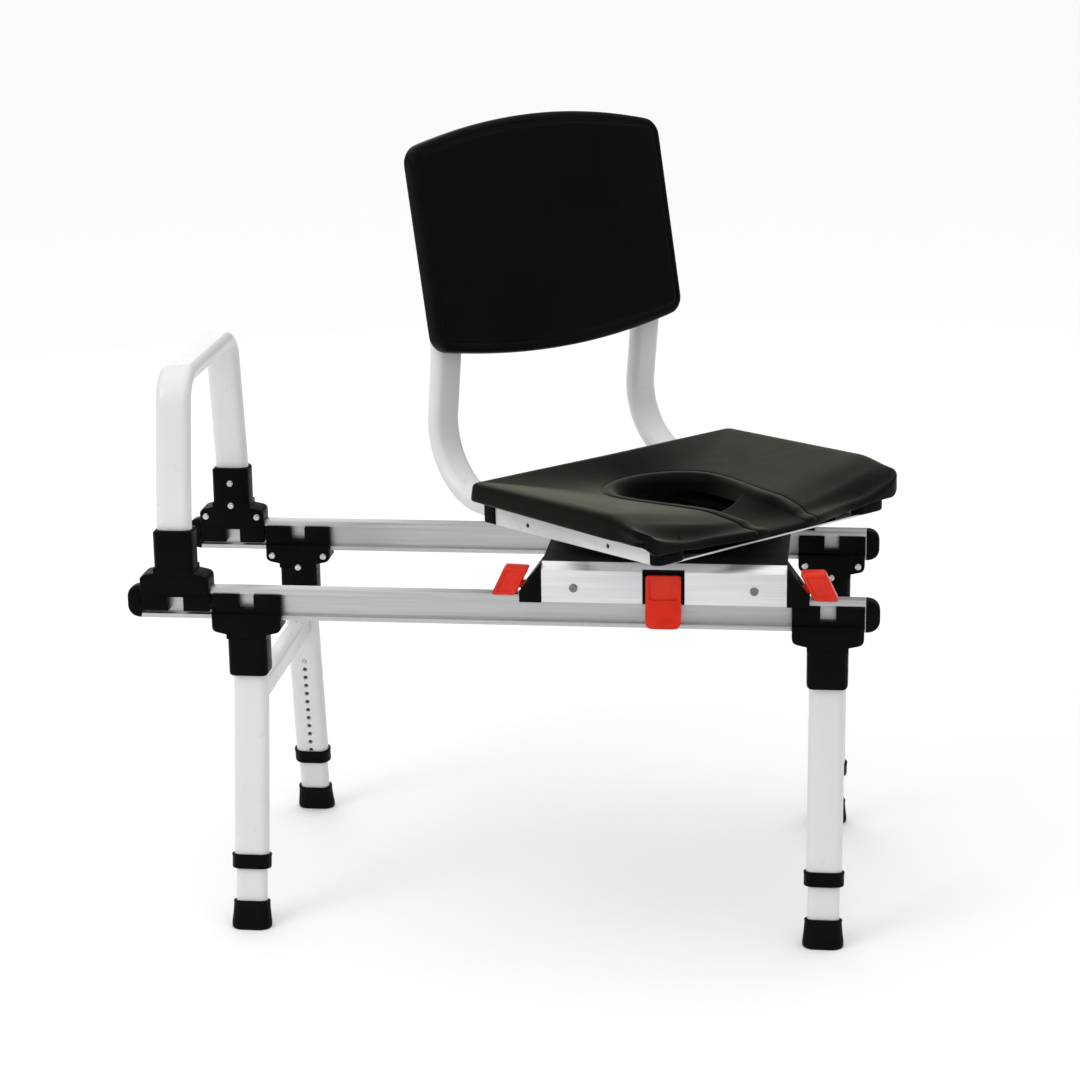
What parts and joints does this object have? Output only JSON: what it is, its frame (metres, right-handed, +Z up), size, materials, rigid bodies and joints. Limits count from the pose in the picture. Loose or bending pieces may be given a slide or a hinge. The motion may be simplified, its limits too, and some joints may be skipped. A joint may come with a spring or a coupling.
{
  "type": "sliding swivel bath transfer bench",
  "caption": "Bath transfer bench: a padded swivel seat with a cut-out and backrest slides along two rails on splayed telescopic legs, with a grab handle at one end.",
  "frame": {"origin": "on the floor, at the centre of the footprint of the whole bench", "axes": "+X along the slide rails away from the grab handle, -Y the side the user comes up to, +Z up"},
  "size_m": [0.9572, 0.6284, 0.9839],
  "materials": {
    "white_coat": "smooth satin powder coat",
    "black_plastic": "fine-textured moulded plastic",
    "aluminium": "satin anodised extrusion",
    "red_plastic": "semi-gloss moulded plastic",
    "rubber": "matt moulded rubber",
    "moulded_pad": "self-skinned foam with a fine leather grain",
    "steel": "bright turned steel"
  },
  "bodies": {
    "base": {"front_rail": "aluminium", "front_rail_cap_left": "black_plastic", "front_rail_cap_right": "black_plastic", "rear_rail": "aluminium", "rear_rail_cap_left": "black_plastic", "rear_rail_cap_right": "black_plastic", "front_left_leg_bracket": "black_plastic", "front_left_outer_leg": "white_coat", "front_left_leg_collar": "black_plastic", "front_right_leg_bracket": "black_plastic", "front_right_outer_leg": "white_coat", "front_right_leg_collar": "black_plastic", "rear_left_leg_bracket": "black_plastic", "rear_left_outer_leg": "white_coat", "rear_left_leg_collar": "black_plastic", "rear_right_leg_bracket": "black_plastic", "rear_right_outer_leg": "white_coat", "rear_right_leg_collar": "black_plastic", "left_cross_brace": "white_coat", "right_cross_brace": "white_coat", "front_handle_bracket": "black_plastic", "rear_handle_bracket": "black_plastic", "grab_handle": "white_coat"},
    "carriage": {"front_side_plate": "aluminium", "rear_side_plate": "aluminium", "carriage_deck": "aluminium", "front_left_guide": "black_plastic", "front_right_guide": "black_plastic", "rear_right_guide": "black_plastic", "rear_left_guide": "black_plastic", "swivel_lock_pocket": "black_plastic", "turntable_base": "black_plastic"},
    "seat": {"turntable_top": "black_plastic", "seat_cushion": "moulded_pad", "seat_pan": "aluminium", "backrest": "moulded_pad", "left_seat_rail": "white_coat", "left_seat_rail_cap": "black_plastic", "left_post_sleeve": "black_plastic", "left_back_post": "white_coat", "right_seat_rail": "white_coat", "right_seat_rail_cap": "black_plastic", "right_post_sleeve": "black_plastic", "right_back_post": "white_coat"},
    "swivel_lever": {"swivel_lock_lever": "red_plastic"},
    "left_lock": {"left_slide_lock": "red_plastic"},
    "right_lock": {"right_slide_lock": "red_plastic"},
    "front_left_leg": {"front_left_inner_leg": "white_coat", "front_left_foot": "rubber"},
    "front_left_button": {"front_left_snap_button": "steel"},
    "front_right_leg": {"front_right_inner_leg": "white_coat", "front_right_foot": "rubber"},
    "front_right_button": {"front_right_snap_button": "steel"},
    "rear_left_leg": {"rear_left_inner_leg": "white_coat", "rear_left_foot": "rubber"},
    "rear_left_button": {"rear_left_snap_button": "steel"},
    "rear_right_leg": {"rear_right_inner_leg": "white_coat", "rear_right_foot": "rubber"},
    "rear_right_button": {"rear_right_snap_button": "steel"}
  },
  "joints": [
    {"name": "front_left_height", "type": "slide", "parent": "base", "child": "front_left_leg", "axis": [0, -0.1736, -0.9848], "range_m": [0, 0.1397]},
    {"name": "front_left_button_press", "type": "slide", "parent": "front_left_leg", "child": "front_left_button", "axis": [0, -0.9848, 0.1736], "range_m": [0, 0.003], "stiffness_N_per_m": 800},
    {"name": "front_right_height", "type": "slide", "parent": "base", "child": "front_right_leg", "axis": [0, -0.1736, -0.9848], "range_m": [0, 0.1397]},
    {"name": "front_right_button_press", "type": "slide", "parent": "front_right_leg", "child": "front_right_button", "axis": [0, -0.9848, 0.1736], "range_m": [0, 0.003], "stiffness_N_per_m": 800},
    {"name": "rear_left_height", "type": "slide", "parent": "base", "child": "rear_left_leg", "axis": [0, 0.1736, -0.9848], "range_m": [0, 0.1397]},
    {"name": "rear_left_button_press", "type": "slide", "parent": "rear_left_leg", "child": "rear_left_button", "axis": [0, 0.9848, 0.1736], "range_m": [0, 0.003], "stiffness_N_per_m": 800},
    {"name": "rear_right_height", "type": "slide", "parent": "base", "child": "rear_right_leg", "axis": [0, 0.1736, -0.9848], "range_m": [0, 0.1397]},
    {"name": "rear_right_button_press", "type": "slide", "parent": "rear_right_leg", "child": "rear_right_button", "axis": [0, 0.9848, 0.1736], "range_m": [0, 0.003], "stiffness_N_per_m": 800},
    {"name": "carriage_slide", "type": "slide", "parent": "base", "child": "carriage", "axis": [1, 0, 0], "range_m": [-0.25, 0.03]},
    {"name": "seat_swivel", "type": "hinge", "parent": "carriage", "child": "seat", "pos_m": [0.19425, -0.02804, 0.52], "axis": [0, 0, 1], "continuous": true},
    {"name": "swivel_lever_lift", "type": "hinge", "parent": "carriage", "child": "swivel_lever", "pos_m": [0.19425, -0.20604, 0.462], "axis": [-1, 0, 0], "range_deg": [0, 20], "stiffness_Nm_per_rad": 1.5, "springref_deg": -2.86},
    {"name": "left_lock_lift", "type": "hinge", "parent": "carriage", "child": "left_lock", "pos_m": [0.02555, -0.19704, 0.447], "axis": [0, 1, 0], "range_deg": [0, 12]},
    {"name": "right_lock_lift", "type": "hinge", "parent": "carriage", "child": "right_lock", "pos_m": [0.36295, -0.19704, 0.447], "axis": [0, -1, 0], "range_deg": [0, 12]}
  ]
}
